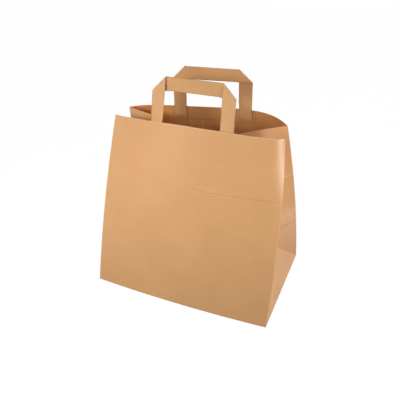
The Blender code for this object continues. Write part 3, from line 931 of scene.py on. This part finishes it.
def tapeRing(line, normal, shares):
    # Points around the tape at a line across it, each with its place around it in widths
    ring = []
    for side, row in ((1, shares), (-1, shares[::-1])):
        for share in row:
            depth = tape["thickness"] / 2 * (tape["edge"] if share in (0.0, 1.0) else 1.0)
            if side < 0 and share > tape["lap"]:
                depth -= sheet["paper"]
            point = line[0].lerp(line[1], share) + normal * depth * side
            ring.append((point, share if side > 0 else 2 - share))
    return ring


def buildHandle(name, handle, node):
    path = tapePath(handle)
    walked = [0.0]
    normals = []
    for line, after in zip(path, path[1:]):
        along = after[0] + after[1] - line[0] - line[1]
        walked.append(walked[-1] + along.length / 2)
        normals.append(along.cross(line[1] - line[0]).normalized())
    shares = [step / tape["columns"] for step in range(tape["columns"] + 1)]
    shares = sorted(shares + [tape["lap"] - tape["lapStep"], tape["lap"] + tape["lapStep"]])
    mesh = bmesh.new()
    flatMap = mesh.loops.layers.uv.new("flatSheet")
    rings = []
    for number, line in enumerate(path):
        normal = evenNormal(normals[max(number - 1, 0):number + 1])
        rings.append([(mesh.verts.new(point), around)
                      for point, around in tapeRing(line, normal, shares)])
    for number, (low, high) in enumerate(zip(rings, rings[1:])):
        start, end = walked[number], walked[number + 1]
        for place in range(len(low)):
            after = (place + 1) % len(low)
            face = mesh.faces.new((low[place][0], low[after][0], high[after][0], high[place][0]))
            spots = ((low[place][1], start), (low[after][1], start),
                     (high[after][1], end), (high[place][1], end))
            for loop, (around, along) in zip(face.loops, spots):
                loop[flatMap].uv = (around * tape["width"], along)
    for end in (rings[0], rings[-1]):
        mesh.faces.new([vert for vert, around in end])
    # Painted shade along the tape's two long edges and its two cut ends
    edges = [(0, 0.0), (0, tape["width"]), (0, 2 * tape["width"]), (1, 0.0), (1, walked[-1])]
    material = kraftMaterial(name + "Paper", tape["pale"], tape["deep"], tape["finish"],
                             edges=edges)
    return makePiece(name, mesh, [material], "kraft_tape", node)


def buildStrip(name, handle, node):
    panel = panelOf(handle)
    edges = legEdges(handle)
    rows, columns = strip["rows"], strip["columns"]
    left = acrossAtRim(panel, edges[0] - strip["margin"])
    right = acrossAtRim(panel, edges[3] + strip["margin"])
    near = sheet["paper"] + strip["gap"]
    top = sheet["height"] + (strip["peek"] if panel is frontPanel else 0.0)
    mesh = bmesh.new()
    flatMap = mesh.loops.layers.uv.new("flatSheet")
    skins = []
    for depth in (near, near + sheet["paper"]):
        skin = []
        for row in range(rows + 1):
            height = top - strip["height"] * (1 - row / rows)
            places = [left + (right - left) * column / columns for column in range(columns + 1)]
            skin.append([mesh.verts.new(panelInside(panel, place, height, depth))
                         for place in places])
        skins.append(skin)
    front, back = skins
    for row in range(rows):
        for column in range(columns):
            for skin in skins:
                mesh.faces.new((skin[row][column], skin[row][column + 1],
                                skin[row + 1][column + 1], skin[row + 1][column]))
    for row in range(rows):
        for column in (0, columns):
            mesh.faces.new((front[row][column], front[row + 1][column],
                            back[row + 1][column], back[row][column]))
    for column in range(columns):
        for row in (0, rows):
            mesh.faces.new((front[row][column], front[row][column + 1],
                            back[row][column + 1], back[row][column]))
    length = edges[3] - edges[0] + 2 * strip["margin"]
    spots = {vert: (length * column / columns, strip["height"] * row / rows)
             for skin in skins for row, line in enumerate(skin) for column, vert in enumerate(line)}
    for face in mesh.faces:
        for loop in face.loops:
            loop[flatMap].uv = spots[loop.vert]
    # Painted shade along the strip's sides and lower edge
    shadedBorders = [(0, 0.0), (0, length), (1, 0.0)]
    material = kraftMaterial(name + "Paper", strip["pale"], strip["deep"], kraft["rough"],
                             edges=shadedBorders)
    return makePiece(name, mesh, [material], "kraft_paper", node)


buildStrip("front_strip", frontHandle, "front_backing_strip")
buildStrip("rear_strip", rearHandle, "rear_backing_strip")
buildHandle("front_loop", frontHandle, "front_handle")
buildHandle("rear_loop", rearHandle, "rear_handle")


# Floor, background and soft studio light

studio = {
    "floorSize": 6.0,
    "floorGap": 0.0002,         # under the base
    "floorWhite": 0.90,         # share of plain white in the floor, the rest takes the shadow
    "floorGlow": 1.10,
    "floorGrey": 0.24,
    "floorRoughness": 0.9,
    "world": 0.10,
}

# Lamps: a key from the front left aimed at the bag's upper left, two low ones that reach
# under the back rim, one from the right for the gusset, and a small one near the floor that
# is mirrored along the curled edge
lamps = {
    "keyLight": {"place": (-0.45, -0.55, 0.90), "aim": (-0.10, -0.06, 0.22),
                 "size": (0.30, 0.30), "power": 0.54, "spread": 70},
    "leftLight": {"place": (-0.45, -0.80, 0.42), "aim": (-0.08, -0.06, 0.15),
                  "size": (0.25, 0.25), "power": 0.55, "spread": 80},
    "frontLight": {"place": (-0.20, -0.90, 0.52), "aim": (-0.08, -0.06, 0.15),
                   "size": (0.25, 0.25), "power": 0.31, "spread": 70},
    "sideLight": {"place": (1.30, 0.25, 0.45), "aim": (0.1, 0.0, 0.12),
                  "size": (0.25, 0.6), "power": 11.0, "spread": 180},
    "edgeLight": {"place": (0.58, -0.436, 0.085), "aim": (0.125, -0.055, 0.215),
                  "size": (0.22, 0.15), "power": 0.13, "spread": 45},
}


def seenDirectly(tree):
    # 1 for what the camera sees, also in a mirror or through glass, and 0 for light on the bag
    path = nodeOf(tree, "ShaderNodeLightPath")
    seen = mathNode(tree, "MAXIMUM", path.outputs["Is Camera Ray"], path.outputs["Is Glossy Ray"])
    return mathNode(tree, "MAXIMUM", seen, path.outputs["Is Transmission Ray"])


def buildFloor():
    data = bpy.data.meshes.new("floor")
    half = studio["floorSize"] / 2
    corners = [(-half, -half, 0), (half, -half, 0), (half, half, 0), (-half, half, 0)]
    data.from_pydata(corners, [], [(0, 1, 2, 3)])
    item = bpy.data.objects.new("floor", data)
    item.location.z = -studio["floorGap"]
    bpy.context.collection.objects.link(item)
    material = bpy.data.materials.new("paleFloor")
    material.use_nodes = True
    tree = material.node_tree
    shader = tree.nodes["Principled BSDF"]
    shader.inputs["Base Color"].default_value = (studio["floorGrey"],) * 3 + (1,)
    shader.inputs["Roughness"].default_value = studio["floorRoughness"]
    shader.inputs["Specular IOR Level"].default_value = 0.0
    glow = nodeOf(tree, "ShaderNodeEmission")
    glow.inputs["Strength"].default_value = studio["floorGlow"]
    mix = nodeOf(tree, "ShaderNodeMixShader")
    share = mathNode(tree, "MULTIPLY", seenDirectly(tree), studio["floorWhite"])
    tree.links.new(share, mix.inputs[0])
    tree.links.new(shader.outputs[0], mix.inputs[1])
    tree.links.new(glow.outputs[0], mix.inputs[2])
    tree.links.new(mix.outputs[0], tree.nodes["Material Output"].inputs["Surface"])
    data.materials.append(material)


def buildWorld():
    world = bpy.data.worlds.new("studio")
    world.use_nodes = True
    tree = world.node_tree
    soft = tree.nodes["Background"]
    soft.inputs["Color"].default_value = (1, 1, 1, 1)
    soft.inputs["Strength"].default_value = studio["world"]
    white = nodeOf(tree, "ShaderNodeBackground")
    white.inputs["Color"].default_value = (1, 1, 1, 1)
    mix = nodeOf(tree, "ShaderNodeMixShader")
    tree.links.new(seenDirectly(tree), mix.inputs[0])
    tree.links.new(soft.outputs[0], mix.inputs[1])
    tree.links.new(white.outputs[0], mix.inputs[2])
    tree.links.new(mix.outputs[0], tree.nodes["World Output"].inputs["Surface"])
    bpy.context.scene.world = world


def addLamp(name, values):
    data = bpy.data.lights.new(name, "AREA")
    data.shape = "RECTANGLE"
    data.size, data.size_y = values["size"]
    data.energy = values["power"]
    data.spread = math.radians(values["spread"])
    item = bpy.data.objects.new(name, data)
    item.location = values["place"]
    item.visible_camera = False
    aim = Vector(values["aim"]) - Vector(values["place"])
    item.rotation_euler = aim.to_track_quat("-Z", "Y").to_euler()
    bpy.context.collection.objects.link(item)


buildFloor()
buildWorld()
for name, values in lamps.items():
    addLamp(name, values)
bpy.context.scene.view_settings.view_transform = "Standard"
print("studio ready")
